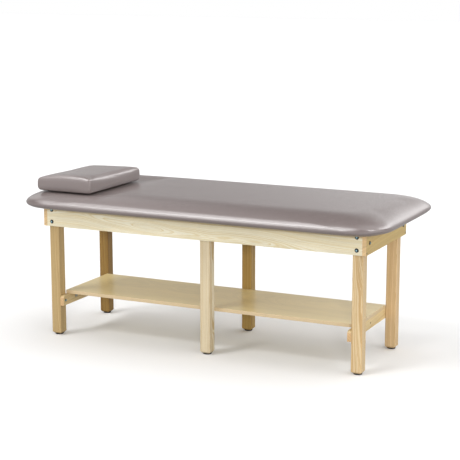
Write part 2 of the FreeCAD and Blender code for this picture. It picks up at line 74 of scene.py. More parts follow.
def ramp(tree, value, low, high, to_low=0.0, to_high=1.0):
    """A smooth step from one level to another."""
    made = tree.nodes.new("ShaderNodeMapRange")
    made.interpolation_type = "SMOOTHSTEP"
    for socket, level in zip(made.inputs, (value, low, high, to_low, to_high)):
        feed(tree, socket, level)
    return made.outputs[0]


def stretched(tree, vector, scale):
    """A place in metres turned into cycles; scale is how many cycles go in a metre along X, Y and Z."""
    made = tree.nodes.new("ShaderNodeVectorMath")
    made.operation = "MULTIPLY"
    feed(tree, made.inputs[0], vector)
    made.inputs[1].default_value = scale
    return made.outputs[0]


def cloud(tree, vector, detail=2.0, roughness=0.5, output="Fac"):
    """Soft noise, about 0.5 on average, at one cycle per unit of the vector."""
    made = tree.nodes.new("ShaderNodeTexNoise")
    feed(tree, made.inputs["Vector"], vector)
    made.inputs["Scale"].default_value = 1.0
    made.inputs["Detail"].default_value = detail
    made.inputs["Roughness"].default_value = roughness
    return made.outputs[output]


def blend_colours(tree, share, a, b, way="MIX"):
    """Lay colour b over colour a by a share, in one of Blender's ways of mixing."""
    made = tree.nodes.new("ShaderNodeMix")
    made.data_type = "RGBA"
    made.blend_type = way
    feed(tree, made.inputs["Factor"], share)
    feed(tree, made.inputs["A"], a)
    feed(tree, made.inputs["B"], b)
    return made.outputs["Result"]


def new_group(name, inputs, outputs):
    """An empty shader group; returns its tree and its input and output nodes."""
    tree = bpy.data.node_groups.new(name, "ShaderNodeTree")
    for label, kind, value in inputs:
        socket = tree.interface.new_socket(label, in_out="INPUT", socket_type=kind)
        if value is not None:
            socket.default_value = value
    for label, kind in outputs:
        tree.interface.new_socket(label, in_out="OUTPUT", socket_type=kind)
    return tree, tree.nodes.new("NodeGroupInput"), tree.nodes.new("NodeGroupOutput")


def use_group(tree, group, values):
    """Place a shader group with its own values; returns its outputs."""
    made = tree.nodes.new("ShaderNodeGroup")
    made.node_tree = group
    for label, value in values.items():
        feed(tree, made.inputs[label], value)
    return made.outputs


def new_finish(name):
    """An empty material with its Principled shader; returns both and the tree."""
    made = bpy.data.materials.new(name)
    made.use_nodes = True
    tree = made.node_tree
    return made, tree, tree.nodes["Principled BSDF"]


def raised(tree, shader, height, distance):
    """Feed a height map to a shader's normal; the distance is the real relief in metres."""
    bump = tree.nodes.new("ShaderNodeBump")
    bump.inputs["Distance"].default_value = distance
    feed(tree, bump.inputs["Height"], height)
    tree.links.new(bump.outputs["Normal"], shader.inputs["Normal"])


def growth_rings():
    """Annual rings round a wandering heart line, with fibres, pores and a soft change of tone.

    A value in cycles says how often the effect comes back in a metre, along the grain and twice across it.
    """
    wander_cycles = 1.6
    ripple_cycles = (7.0, 45.0, 45.0)
    fibre_cycles = (9.0, 650.0, 650.0)
    pore_cycles = (55.0, 1500.0, 1500.0)
    tone_cycles = (1.3, 16.0, 16.0)
    year_pace = 0.37
    year_change = 1.6
    average = 0.5
    tree, given, out = new_group(
        "growth rings",
        [
            ("Position", "NodeSocketVector", None),
            ("Heart across", "NodeSocketFloat", 0.0),
            ("Heart up", "NodeSocketFloat", 0.0),
            ("Lean across", "NodeSocketFloat", 0.0),
            ("Lean up", "NodeSocketFloat", 0.0),
            ("Ring width", "NodeSocketFloat", 0.004),
            ("Wander", "NodeSocketFloat", 0.02),
            ("Seed", "NodeSocketFloat", 0.0),
        ],
        [
            ("Late wood", "NodeSocketFloat"),
            ("Fibre", "NodeSocketFloat"),
            ("Pores", "NodeSocketFloat"),
            ("Tone", "NodeSocketFloat"),
        ],
    )
    get = given.outputs
    parts = tree.nodes.new("ShaderNodeSeparateXYZ")
    tree.links.new(get["Position"], parts.inputs[0])
    along, across, up = parts.outputs
    path = tree.nodes.new("ShaderNodeCombineXYZ")
    feed(tree, path.inputs[0], calc(tree, "MULTIPLY", along, wander_cycles))
    feed(tree, path.inputs[1], get["Seed"])
    drift = tree.nodes.new("ShaderNodeSeparateColor")
    tree.links.new(cloud(tree, path.outputs[0], 2.0, 0.5, "Color"), drift.inputs[0])
    radius_parts = []
    for place, heart, lean, wave in (
        (across, "Heart across", "Lean across", drift.outputs[0]),
        (up, "Heart up", "Lean up", drift.outputs[1]),
    ):
        line = calc(tree, "MULTIPLY_ADD", along, get[lean], get[heart])
        sway = calc(tree, "MULTIPLY", calc(tree, "SUBTRACT", wave, average), get["Wander"])
        offset = calc(tree, "SUBTRACT", calc(tree, "SUBTRACT", place, line), sway)
        radius_parts.append(calc(tree, "MULTIPLY", offset, offset))
    radius = calc(tree, "SQRT", calc(tree, "ADD", *radius_parts))
    ripple = cloud(tree, stretched(tree, get["Position"], ripple_cycles), 3.0)
    ripple = calc(tree, "MULTIPLY", calc(tree, "SUBTRACT", ripple, average), get["Ring width"])
    count = calc(tree, "DIVIDE", calc(tree, "ADD", radius, ripple), get["Ring width"])
    year = tree.nodes.new("ShaderNodeTexNoise")
    year.noise_dimensions = "1D"
    feed(tree, year.inputs["W"], calc(tree, "MULTIPLY_ADD", count, year_pace, get["Seed"]))
    count = calc(tree, "MULTIPLY_ADD", year.outputs["Fac"], year_change, count)
    share = calc(tree, "FRACT", count)
    darkening = ramp(tree, share, 0.25, 0.9)
    winter_stop = ramp(tree, share, 0.94, 1.0, 1.0, 0.0)
    late = calc(tree, "MULTIPLY", darkening, winter_stop)
    feed(tree, out.inputs["Late wood"], late)
    shifted = tree.nodes.new("ShaderNodeVectorMath")
    shifted.operation = "ADD"
    tree.links.new(get["Position"], shifted.inputs[0])
    tree.links.new(get["Seed"], shifted.inputs[1])
    place = shifted.outputs[0]
    fibre = cloud(tree, stretched(tree, place, fibre_cycles), 3.0, 0.6)
    feed(tree, out.inputs["Fibre"], fibre)
    pores = ramp(tree, cloud(tree, stretched(tree, place, pore_cycles), 1.0), 0.6, 0.72)
    feed(tree, out.inputs["Pores"], calc(tree, "MULTIPLY", pores, calc(tree, "SUBTRACT", 1.0, late)))
    feed(tree, out.inputs["Tone"], cloud(tree, stretched(tree, place, tone_cycles), 3.0))
    return tree


rings_group = growth_rings()
grain_order = {"X": (0, 1, 2), "Y": (1, 0, 2), "Z": (2, 0, 1)}


def timber(name, grain, heart, lean, ring_width, wander, pale, late, end_grain, seed, painted_shade_above=None):
    """Varnished solid wood: grain is the axis that it runs along, heart and lean place the tree's centre.

    pale and late are the colours of the early and the late wood. painted_shade_above is the height above
    which
    the wood is painted darker: painted shade for the shadow under the pad's overhang.
    """
    late_on_end = 0.82
    pore_depth_share = 0.6
    pore_shade = 0.16
    painted_shade_fade = 0.014
    painted_shade_tint = paint(196, 178, 148)
    grain_relief = 0.00012
    made, tree, shader = new_finish(name)
    where = tree.nodes.new("ShaderNodeTexCoord")
    split = tree.nodes.new("ShaderNodeSeparateXYZ")
    tree.links.new(where.outputs["Object"], split.inputs[0])
    turned = tree.nodes.new("ShaderNodeCombineXYZ")
    for target, source in enumerate(grain_order[grain]):
        tree.links.new(split.outputs[source], turned.inputs[target])
    rings = use_group(
        tree,
        rings_group,
        {
            "Position": turned.outputs[0],
            "Heart across": heart[0],
            "Heart up": heart[1],
            "Lean across": lean[0],
            "Lean up": lean[1],
            "Ring width": ring_width,
            "Wander": wander,
            "Seed": seed,
        },
    )
    body = blend_colours(tree, rings["Late wood"], paint(*pale), paint(*late))
    tone = ramp(tree, rings["Tone"], 0.25, 0.75, 0.9, 1.08)
    fibre = ramp(tree, rings["Fibre"], 0.25, 0.75, 0.94, 1.05)
    light = calc(tree, "MULTIPLY", tone, fibre)
    light = calc(tree, "MULTIPLY_ADD", rings["Pores"], -pore_shade, light)
    body = blend_colours(tree, 1.0, body, light, "MULTIPLY")
    facing = tree.nodes.new("ShaderNodeSeparateXYZ")
    tree.links.new(where.outputs["Normal"], facing.inputs[0])
    across_grain = calc(tree, "ABSOLUTE", facing.outputs["XYZ".index(grain)])
    cut_end = ramp(tree, across_grain, 0.75, 0.95)
    end_late = [c * late_on_end for c in end_grain]
    ends = blend_colours(tree, rings["Late wood"], paint(*end_grain), paint(*end_late))
    body = blend_colours(tree, cut_end, body, ends)
    if painted_shade_above:
        # Painted shade: above the given height the wood is darkened for the shadow under the pad's
        # overhang.
        painted_shade_share = ramp(tree, split.outputs["Z"], painted_shade_above, painted_shade_above + painted_shade_fade)
        painted_shade_body = blend_colours(tree, 1.0, body, painted_shade_tint, "MULTIPLY")
        body = blend_colours(tree, painted_shade_share, body, painted_shade_body)
    feed(tree, shader.inputs["Base Color"], body)
    feed(tree, shader.inputs["Roughness"], ramp(tree, rings["Fibre"], 0.2, 0.8, 0.38, 0.52))
    shader.inputs["Coat Weight"].default_value = 0.08
    shader.inputs["Specular IOR Level"].default_value = 0.35
    shader.inputs["Coat Roughness"].default_value = 0.22
    relief = calc(tree, "MULTIPLY_ADD", rings["Pores"], -pore_depth_share, rings["Fibre"])
    raised(tree, shader, relief, grain_relief)
    return made


def dress(material, *nodes):
    """Give a finish to solids that stay as they are."""
    for name in nodes:
        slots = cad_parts[name].data.materials
        slots.clear()
        slots.append(material)


# Early and late wood, the seed of the pattern, and how far the tree's centre is from the leg's.
leg_woods = {
    "leg_front_head": ((198, 173, 126), (172, 141, 92), 3.1, (0.05, 0.06)),
    "leg_front_middle": ((219, 207, 180), (191, 166, 122), 7.4, (-0.09, 0.02)),
    "leg_front_foot": ((221, 198, 157), (197, 162, 112), 1.7, (0.03, 0.12)),
    # The two back legs below are painted much darker: painted shade for the shadow under the top and
    # shelf.
    "leg_back_head": ((150, 120, 64), (126, 92, 42), 5.9, (-0.04, -0.08)),
    "leg_back_middle": ((182, 152, 88), (150, 114, 56), 9.2, (0.10, -0.03)),
    "leg_back_foot": ((221, 192, 148), (188, 150, 100), 4.6, (0.022, -0.03)),
}
leg_end = (190, 148, 98)
leg_lean = (0.012, -0.02)
leg_ring_width = 0.0032
leg_wander = 0.02
for name, (pale, late, seed, heart_offset) in leg_woods.items():
    low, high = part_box(name)
    middle = (low + high) / 2
    heart = (middle.x + heart_offset[0], middle.y + heart_offset[1])
    finish = timber(
        name + "_ash", "Z", heart, leg_lean, leg_ring_width, leg_wander, pale, late, leg_end, seed
    )
    dress(finish, name)


# Glides. Black moulded feet, one screwed under each leg, a little narrower
# than the leg, so that a dark line shows at the floor.

def moulded_plastic(name, colour, roughness):
    """Moulded plastic with a faint stipple and dust in it."""
    stipple_cycles = (900.0, 900.0, 900.0)
    dust_cycles = (25.0, 25.0, 60.0)
    stipple_relief = 0.00005
    made, tree, shader = new_finish(name)
    where = tree.nodes.new("ShaderNodeTexCoord")
    stipple = cloud(tree, stretched(tree, where.outputs["Object"], stipple_cycles), 2.0)
    dust = cloud(tree, stretched(tree, where.outputs["Object"], dust_cycles), 4.0)
    light = ramp(tree, dust, 0.3, 0.8, 0.85, 1.5)
    feed(tree, shader.inputs["Base Color"], blend_colours(tree, 1.0, paint(*colour), light, "MULTIPLY"))
    feed(tree, shader.inputs["Roughness"], ramp(tree, dust, 0.3, 0.8, roughness, roughness + 0.15))
    raised(tree, shader, stipple, stipple_relief)
    return made


dress(moulded_plastic("glide_black", (34, 32, 31), 0.55), "leg_glides")


# Frame boards. Pale planed ash on edge: two long aprons between the end
# boards, whose end grain shows at the corners. Bolts pull them to the legs.

apron_pale = (243, 236, 212)
apron_late = (227, 211, 168)
board_end = (234, 200, 150)
end_board_pale = (210, 184, 120)
end_board_late = (186, 152, 88)
apron_ring_width = 0.0042
end_board_ring_width = 0.004
end_board_wander = 0.03
# From this height up the aprons are painted darker: painted shade for the shadow under the pad's overhang.
apron_painted_shade_start = 0.668
front_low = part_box("front_apron")[0]
front_heart = (front_low.y + 0.034, front_low.z + 0.03)
front_lean = (0.012, -0.062)
back_low, back_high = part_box("back_apron")
back_heart = (back_high.y + 0.05, back_low.z + 0.09)
back_lean = (-0.02, 0.03)
for name, heart, lean, wander, seed in (
    ("front_apron", front_heart, front_lean, 0.06, 2.3),
    ("back_apron", back_heart, back_lean, 0.05, 6.1),
):
    finish = timber(
        name + "_ash", "X", heart, lean, apron_ring_width, wander,
        apron_pale, apron_late, board_end, seed, apron_painted_shade_start,
    )
    dress(finish, name)
for name, seed in (("head_end_board", 8.3), ("foot_end_board", 11.9)):
    low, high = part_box(name)
    heart = ((low.x + high.x) / 2 + 0.05, low.z - 0.02)
    lean = (0.03, 0.08)
    finish = timber(
        name + "_ash", "Y", heart, lean, end_board_ring_width, end_board_wander,
        end_board_pale, end_board_late, board_end, seed,
    )
    dress(finish, name)


# Bolts and screws. Black lacquered carriage bolts hold the frame, and the
# crowns of their domes carry a pale blue painted highlight. The screws that show
# are black too, and the parts out of sight are zinc plated.

def lacquered_steel(name, colour, glint_share=0.0):
    """Glossy black lacquer over steel; glint_share is how strongly a pale blue painted highlight, partly
    metal, covers a dome's crown.
    """
    flow_cycles = (260.0, 260.0, 260.0)
    flow_relief = 0.00004
    glint_colour = paint(178, 226, 240)
    glint_metal = 0.6
    made, tree, shader = new_finish(name)
    where = tree.nodes.new("ShaderNodeTexCoord")
    flow = cloud(tree, stretched(tree, where.outputs["Object"], flow_cycles), 2.0)
    light = ramp(tree, flow, 0.3, 0.7, 0.8, 1.3)
    lacquer = blend_colours(tree, 1.0, paint(*colour), light, "MULTIPLY")
    facing = tree.nodes.new("ShaderNodeSeparateXYZ")
    tree.links.new(where.outputs["Normal"], facing.inputs[0])
    sideways = [calc(tree, "ABSOLUTE", facing.outputs[axis]) for axis in ("X", "Y")]
    # Painted highlight: a pale blue, partly metallic spot on the crown of the dome, where it faces
    # straight out.
    crown = ramp(tree, calc(tree, "MAXIMUM", *sideways), 0.93, 0.985, 0.0, glint_share)
    feed(tree, shader.inputs["Base Color"], blend_colours(tree, crown, lacquer, glint_colour))
    feed(tree, shader.inputs["Roughness"], ramp(tree, flow, 0.3, 0.7, 0.20, 0.28))
    feed(tree, shader.inputs["Metallic"], calc(tree, "MULTIPLY", crown, glint_metal))
    raised(tree, shader, flow, flow_relief)
    return made


def zinc_plate(name):
    """Zinc plated steel: grey metal with faint dull spots."""
    spot_cycles = (120.0, 120.0, 120.0)
    made, tree, shader = new_finish(name)
    where = tree.nodes.new("ShaderNodeTexCoord")
    spots = cloud(tree, stretched(tree, where.outputs["Object"], spot_cycles), 4.0)
    tint = blend_colours(tree, spots, paint(150, 152, 150), paint(196, 196, 190))
    feed(tree, shader.inputs["Base Color"], tint)
    feed(tree, shader.inputs["Roughness"], ramp(tree, spots, 0.3, 0.7, 0.32, 0.5))
    shader.inputs["Metallic"].default_value = 0.9
    return made


# The bolts get the pale blue painted highlight on their crowns; the screws get none.
painted_glint_share = 0.9
bolt_black = lacquered_steel("black_bolt", (16, 20, 24), painted_glint_share)
screw_black = lacquered_steel("black_screw", (16, 18, 20))
dress(bolt_black, "apron_bolts", "end_board_bolts", "shelf_rail_bolts")
dress(screw_black, "end_board_screws", "stretcher_screws")
zinc = zinc_plate("zinc_plate")
dress(zinc, "crossbar_bolts", "bolt_washers", "bolt_nuts", "shelf_rail_inserts", "middle_leg_screws")
dress(zinc, "deck_screws", "cleat_screws", "glide_screws", "shelf_brackets", "shelf_bracket_screws")


# Shelf. A varnished birch plywood board on two end rails and a stretcher,
# its edges sanded and left to show their thin plies. The crossbar, cleats and
# deck under the padded top are of the same woods.

def plywood(name, face, edge, ply_thickness, gloss):
    """Birch plywood: a calm face veneer with short flecks, and striped plies on the edges."""
    fleck_cycles = (30.0, 400.0, 400.0)
    fleck_relief = 0.00006
    veneer_rings = {
        "Heart across": 0.1,
        "Heart up": -0.35,
        "Lean up": 0.03,
        "Ring width": 0.006,
        "Wander": 0.12,
        "Seed": 4.4,
    }
    late_shade = 0.05
    dark_ply = 0.88
    made, tree, shader = new_finish(name)
    where = tree.nodes.new("ShaderNodeTexCoord")
    at = where.outputs["Object"]
    rings = use_group(tree, rings_group, {"Position": at, **veneer_rings})
    flecks = cloud(tree, stretched(tree, at, fleck_cycles), 3.0, 0.6)
    fleck_light = ramp(tree, flecks, 0.25, 0.75, 0.97, 1.03)
    tone = ramp(tree, rings["Tone"], 0.25, 0.75, 0.96, 1.03)
    light = calc(tree, "MULTIPLY", fleck_light, tone)
    light = calc(tree, "MULTIPLY_ADD", rings["Late wood"], -late_shade, light)
    top = blend_colours(tree, 1.0, paint(*face), light, "MULTIPLY")
    split = tree.nodes.new("ShaderNodeSeparateXYZ")
    tree.links.new(at, split.inputs[0])
    ply = calc(tree, "FRACT", calc(tree, "DIVIDE", split.outputs["Z"], 2 * ply_thickness))
    stripe = ramp(tree, calc(tree, "ABSOLUTE", calc(tree, "SUBTRACT", ply, 0.5)), 0.2, 0.3)
    sides = blend_colours(tree, stripe, paint(*edge), paint(*[c * dark_ply for c in edge]))
    facing = tree.nodes.new("ShaderNodeSeparateXYZ")
    tree.links.new(where.outputs["Normal"], facing.inputs[0])
    flat = ramp(tree, calc(tree, "ABSOLUTE", facing.outputs["Z"]), 0.6, 0.9)
    feed(tree, shader.inputs["Base Color"], blend_colours(tree, flat, sides, top))
    feed(tree, shader.inputs["Roughness"], ramp(tree, flecks, 0.25, 0.75, gloss, gloss + 0.08))
    shader.inputs["Coat Weight"].default_value = 0.3
    shader.inputs["Coat Roughness"].default_value = 0.18
    raised(tree, shader, flecks, fleck_relief)
    return made


shelf_ply = 0.0016
shelf_gloss = 0.32
dress(plywood("shelf_birch", (234, 214, 158), (220, 196, 156), shelf_ply, shelf_gloss), "shelf_board")
rail_pale = (222, 200, 152)
rail_late = (196, 164, 112)
rail_end = (214, 176, 128)
rail_ring_width = 0.004
rail_wander = 0.03
for name, seed in (("head_shelf_rail", 12.2), ("foot_shelf_rail", 14.5), ("middle_crossbar", 17.3)):
    low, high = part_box(name)
    heart = ((low.x + high.x) / 2 - 0.04, low.z - 0.03)
    lean = (0.02, 0.04)
    finish = timber(
        name + "_ash", "Y", heart, lean, rail_ring_width, rail_wander, rail_pale, rail_late, rail_end, seed
    )
    dress(finish, name)
for name, seed in (("shelf_stretcher", 19.1), ("deck_cleats", 22.6)):
    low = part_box(name)[0]
    heart = (0.06, low.z - 0.05)
    lean = (0.01, 0.01)
    finish = timber(
        name + "_ash", "X", heart, lean, rail_ring_width, rail_wander, rail_pale, rail_late, rail_end, seed
    )
    dress(finish, name)
deck_ply = 0.0015
deck_gloss = 0.5
dress(plywood("deck_birch", (206, 184, 140), (190, 150, 104), deck_ply, deck_gloss), "deck_board")


# Padded top. A block of foam on the plywood deck, wrapped in stretched vinyl
# that rolls round the edge and is stapled in a flap on the deck's underside.

def outline(ring, cells, centre):
    """The points of a rounded rectangle at one level, from the middle of the corner at low X and low Y.

    ring is (length, width, corner depth, height) and cells is (along, across, round a corner). The corners
    bend most in their middle, as stretched cloth does, and run into the sides without a break.
    """
    fullness = 0.88
    length, width, radius, height = ring
    along, across, corner = cells
    points = []
    for turn, (straight, side, other) in enumerate(((along, length, width), (across, width, length)) * 2):
        heading = turn * math.pi / 2
        go = Vector((math.cos(heading), math.sin(heading)))
        out = Vector((math.sin(heading), -math.cos(heading)))
        reach = side / 2 - radius
        depth = other / 2 - radius
        steps = []
        for k in range(corner // 2):
            angle = math.pi / 4 - k * math.pi / 2 / corner
            bend = (radius * math.sin(angle) ** fullness, radius * math.cos(angle) ** fullness)
            steps.append(-go * (reach + bend[0]) + out * (depth + bend[1]))
        for k in range(straight + 1):
            steps.append(go * (2 * reach * k / straight - reach) + out * (depth + radius))
        for k in range(1, corner // 2):
            angle = k * math.pi / 2 / corner
            bend = (radius * math.sin(angle) ** fullness, radius * math.cos(angle) ** fullness)
            steps.append(go * (reach + bend[0]) + out * (depth + bend[1]))
        points += [Vector((p.x, p.y, height)) + centre for p in steps]
    return points


def patch(edge, cells):
    """Inner points that fill a closed outline with a grid; returns rows of points, edge included."""
    columns = cells[0] + cells[2]
    rows = cells[1] + cells[2]
    low = edge[: columns + 1]
    right = edge[columns : columns + rows + 1]
    high = list(reversed(edge[columns + rows : 2 * columns + rows + 1]))
    left = list(reversed(edge[2 * columns + rows :] + edge[:1]))
    grid = []
    for j in range(rows + 1):
        v = j / rows
        row = []
        for i in range(columns + 1):
            u = i / columns
            point = low[i] * (1 - v) + high[i] * v + left[j] * (1 - u) + right[j] * u
            point -= low[0] * (1 - u) * (1 - v) + low[-1] * u * (1 - v)
            point -= high[0] * (1 - u) * v + high[-1] * u * v
            row.append(point)
        grid.append(row)
    return grid


def cushion(name, rings, cells, centre, creases=()):
    """A closed cushion: rings of points from its first lid to its last, each end filled with a grid.

    creases holds the numbers of the rings whose edge stays sharp.
    """
    form = bmesh.new()
    loops = [[form.verts.new(p) for p in outline(ring, cells, centre)] for ring in rings]
    for lower, upper in zip(loops, loops[1:]):
        for k, vert in enumerate(lower):
            after = (k + 1) % len(lower)
            form.faces.new((vert, lower[after], upper[after], upper[k]))
    for loop, flip in ((loops[0], True), (loops[-1], False)):
        spots = patch([v.co.copy() for v in loop], cells)
        columns = cells[0] + cells[2]
        rows = cells[1] + cells[2]
        rim = {}
        ring_places = [(i, 0) for i in range(columns)] + [(columns, j) for j in range(rows)]
        ring_places += [(i, rows) for i in range(columns, 0, -1)] + [(0, j) for j in range(rows, 0, -1)]
        for place, vert in zip(ring_places, loop):
            rim[place] = vert
        made = {}
        for j in range(rows + 1):
            for i in range(columns + 1):
                spot = spots[j][i]
                made[i, j] = rim[i, j] if (i, j) in rim else form.verts.new(spot)
        for j in range(rows):
            for i in range(columns):
                corners = [made[i, j], made[i + 1, j], made[i + 1, j + 1], made[i, j + 1]]
                form.faces.new(reversed(corners) if flip else corners)
    bmesh.ops.recalc_face_normals(form, faces=form.faces)
    sharp = form.edges.layers.float.new("crease_edge")
    for number in creases:
        loop = loops[number]
        for k, vert in enumerate(loop):
            edge = form.edges.get((vert, loop[(k + 1) % len(loop)]))
            edge[sharp] = 1.0
    mesh = bpy.data.meshes.new(name)
    form.to_mesh(mesh)
    form.free()
    made = bpy.data.objects.new(name, mesh)
    bpy.context.scene.collection.objects.link(made)
    return made


def soften(piece, levels):
    """Subdivide a piece's mesh for good."""
    smooth = piece.modifiers.new("soft", "SUBSURF")
    smooth.levels = levels
    seen = piece.evaluated_get(bpy.context.evaluated_depsgraph_get())
    mesh = bpy.data.meshes.new_from_object(seen)
    piece.modifiers.clear()
    piece.data = mesh
    for face in mesh.polygons:
        face.use_smooth = True


def swell(piece, is_held, pressure, stretch, most):
    """Let the foam push its cover out, as a cloth under pressure that is held where is_held says.

    stretch is how stiff the cover is, and no point moves further than most.
    """
    frames = 20
    still = 1e-7
    starts = [vert.co.copy() for vert in piece.data.vertices]
    held = piece.vertex_groups.new(name="held")
    held.add([k for k, start in enumerate(starts) if is_held(start)], 1.0, "REPLACE")
    cloth = piece.modifiers.new("cover", "CLOTH")
    cloth.settings.vertex_group_mass = "held"
    cloth.settings.use_pressure = True
    cloth.settings.uniform_pressure_force = pressure
    cloth.settings.tension_stiffness = stretch
    cloth.settings.compression_stiffness = stretch
    cloth.settings.shear_stiffness = stretch / 3
    cloth.settings.effector_weights.gravity = 0.0
    cloth.collision_settings.use_collision = False
    for number in range(1, frames + 1):
        bpy.context.scene.frame_set(number)
    seen = piece.evaluated_get(bpy.context.evaluated_depsgraph_get())
    ends = [vert.co.copy() for vert in seen.data.vertices]
    piece.modifiers.clear()
    piece.vertex_groups.clear()
    bpy.context.scene.frame_set(1)
    for vert, start, end in zip(piece.data.vertices, starts, ends):
        move = end - start
        if move.length > still:
            reached = most * (1 - math.exp(-move.length / most))
            vert.co = start + move * (reached / move.length)


pad_low, pad_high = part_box("pad_cover")
deck_low, deck_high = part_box("deck_board")
pad_length = pad_high.x - pad_low.x
pad_width = pad_high.y - pad_low.y
pad_corner = 0.170
pad_corner_loss = 0.45
pad_roll_depth = 0.076
pad_roll_height = 0.0230
pad_dome_depth = 0.170
pad_dome_height = 0.0640
pad_flap_inset = 0.0795
vinyl_thickness = 0.0012
pocket_gap = 0.0003
pad_widest = pad_low.z + pad_roll_height
pocket_inset = (pad_length - (deck_high.x - deck_low.x)) / 2 - pocket_gap


def pad_ring(inset, height):
    """One level of the pad; its corners grow tighter as it draws in."""
    radius = pad_corner - pad_corner_loss * inset
    return (pad_length - 2 * inset, pad_width - 2 * inset, radius, height)


flap_top = pad_low.z + vinyl_thickness - pocket_gap
pad_rings = [
    pad_ring(pocket_inset, deck_high.z + pocket_gap),
    pad_ring(pocket_inset, flap_top),
    pad_ring(pad_flap_inset, flap_top),
    pad_ring(pad_flap_inset, pad_low.z),
]
roll_steps = (-90, -78, -64, -48, -30, -12)
dome_steps = (4, 16, 28, 39, 50, 60, 69, 77, 84, 90)
for steps, depth, rise in (
    (roll_steps, pad_roll_depth, pad_roll_height),
    (dome_steps, pad_dome_depth, pad_dome_height),
):
    for degrees in steps:
        angle = math.radians(degrees)
        pad_rings.append(pad_ring(depth * (1 - math.cos(angle)), pad_widest + rise * math.sin(angle)))
pad_cells = (44, 16, 8)
sharp_rings = {0, 1, 2, 3}
pad = cushion("padded_top", pad_rings, pad_cells, Vector((0, 0, 0)), sharp_rings)
soften(pad, 1)
pillow_low, pillow_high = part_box("pillow_cover")


def smooth_step(value, low, high):
    """The share, 0 to 1, of the way from low to high, easy at both ends."""
    share = min(max((value - low) / (high - low), 0.0), 1.0)
    return share * share * (3 - 2 * share)


def press_pad(mesh, level, margin):
    """The pillow presses the crown of the pad down to a level under it, and less out to a margin."""
    flat_margin = 0.005
    for vert in mesh.vertices:
        x, y, z = vert.co
        aside = max(pillow_low.x - x, x - pillow_high.x, pillow_low.y - y, y - pillow_high.y)
        if z > level:
            vert.co.z = z - (z - level) * (1 - smooth_step(aside, flat_margin, margin))


def lift_ends(mesh, foot, head):
    """Beyond the frame nothing holds the underside down, so the cover pulls it up there."""
    foot_run = (0.885, 0.98)
    head_run = (0.925, 0.985)
    fade = 0.03
    for vert in mesh.vertices:
        share = 1 - smooth_step(vert.co.z, pad_widest, pad_widest + fade)
        rise = foot * smooth_step(vert.co.x, *foot_run) + head * smooth_step(-vert.co.x, *head_run)
        vert.co.z += rise * share


def crown_pad(mesh, rise):
    """The foam is packed fuller in the middle, so the top is slightly domed along and across."""
    for vert in mesh.vertices:
        along = min(abs(vert.co.x) / (pad_length / 2), 1.0)
        across = min(abs(vert.co.y) / (pad_width / 2), 1.0)
        share = smooth_step(vert.co.z, pad_widest, pad_high.z)
        vert.co.z += rise * share * (1 - along ** 6) * (1 - across ** 2)


def even_out(mesh, above, rounds):
    """The foam is stiff against small wrinkles, so they level out where the cover lies on it."""
    form = bmesh.new()
    form.from_mesh(mesh)
    top = [vert for vert in form.verts if vert.co.z > above]
    for _ in range(rounds):
        bmesh.ops.smooth_vert(form, verts=top, factor=0.5, use_axis_z=True)
    form.to_mesh(mesh)
    form.free()


def is_stapled(at):
    """The underside and the foot of the roll don't move when the cover swells."""
    free_height = 0.012
    return at.z < pad_widest - free_height


top_region = pad_widest + 0.035
pressed_level = pillow_low.z - 0.0005
pressed_margin = 0.17
lift_ends(pad.data, foot=0.005, head=0.003)
crown_pad(pad.data, rise=0.006)
swell(pad, is_stapled, pressure=0.6, stretch=80.0, most=0.002)
even_out(pad.data, top_region, rounds=10)
press_pad(pad.data, pressed_level, pressed_margin)
soften(pad, 1)


def vinyl_skin():
    """The surface of upholstery vinyl: a fine pebble, a slow change of tone and a fine mottle of shine."""
    tone_cycles = (3.0, 5.0, 5.0)
    shine_cycles = (600.0, 600.0, 600.0)
    tree, given, out = new_group(
        "vinyl skin",
        [("Position", "NodeSocketVector", None), ("Pebble size", "NodeSocketFloat", 0.0011)],
        [("Relief", "NodeSocketFloat"), ("Tone", "NodeSocketFloat"), ("Shine", "NodeSocketFloat")],
    )
    get = given.outputs
    pebbles = tree.nodes.new("ShaderNodeTexNoise")
    tree.links.new(get["Position"], pebbles.inputs["Vector"])
    feed(tree, pebbles.inputs["Scale"], calc(tree, "DIVIDE", 1.0, get["Pebble size"]))
    feed(tree, out.inputs["Relief"], pebbles.outputs["Fac"])
    feed(tree, out.inputs["Tone"], cloud(tree, stretched(tree, get["Position"], tone_cycles), 2.0))
    feed(tree, out.inputs["Shine"], cloud(tree, stretched(tree, get["Position"], shine_cycles), 1.0))
    return tree


vinyl_group = vinyl_skin()


def vinyl(name, colour):
    """Satin upholstery vinyl."""
    pebble_relief = 0.000015
    made, tree, shader = new_finish(name)
    where = tree.nodes.new("ShaderNodeTexCoord")
    skin = use_group(tree, vinyl_group, {"Position": where.outputs["Object"]})
    light = ramp(tree, skin["Tone"], 0.3, 0.7, 0.985, 1.015)
    feed(tree, shader.inputs["Base Color"], blend_colours(tree, 1.0, paint(*colour), light, "MULTIPLY"))
    feed(tree, shader.inputs["Roughness"], ramp(tree, skin["Shine"], 0.3, 0.7, 0.265, 0.285))
    shader.inputs["Specular IOR Level"].default_value = 1.0
    raised(tree, shader, skin["Relief"], pebble_relief)
    return made


taupe = vinyl("taupe_vinyl", (119, 108, 106))
pad.data.materials.append(taupe)
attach(pad, "table")
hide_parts("pad_cover", "pad_foam")


# Pillow. A loose foam block in a sewn vinyl cover: soft upright corners,
# sides that draw in underneath, and a low crown. It only lies on the pad.

pillow_length = pillow_high.x - pillow_low.x
pillow_width = pillow_high.y - pillow_low.y
pillow_corner = 0.014
pillow_slack = 0.0015
pillow_crown_room = 0.003
mm_per_metre = 1000
pillow_middle = Vector(((pillow_low.x + pillow_high.x) / 2, (pillow_low.y + pillow_high.y) / 2, 0))


def pillow_ring(inset, height, radius):
    """One level of the pillow, which lies a little inside its box."""
    inset += pillow_slack
    return (pillow_length - 2 * inset, pillow_width - 2 * inset, radius, height)


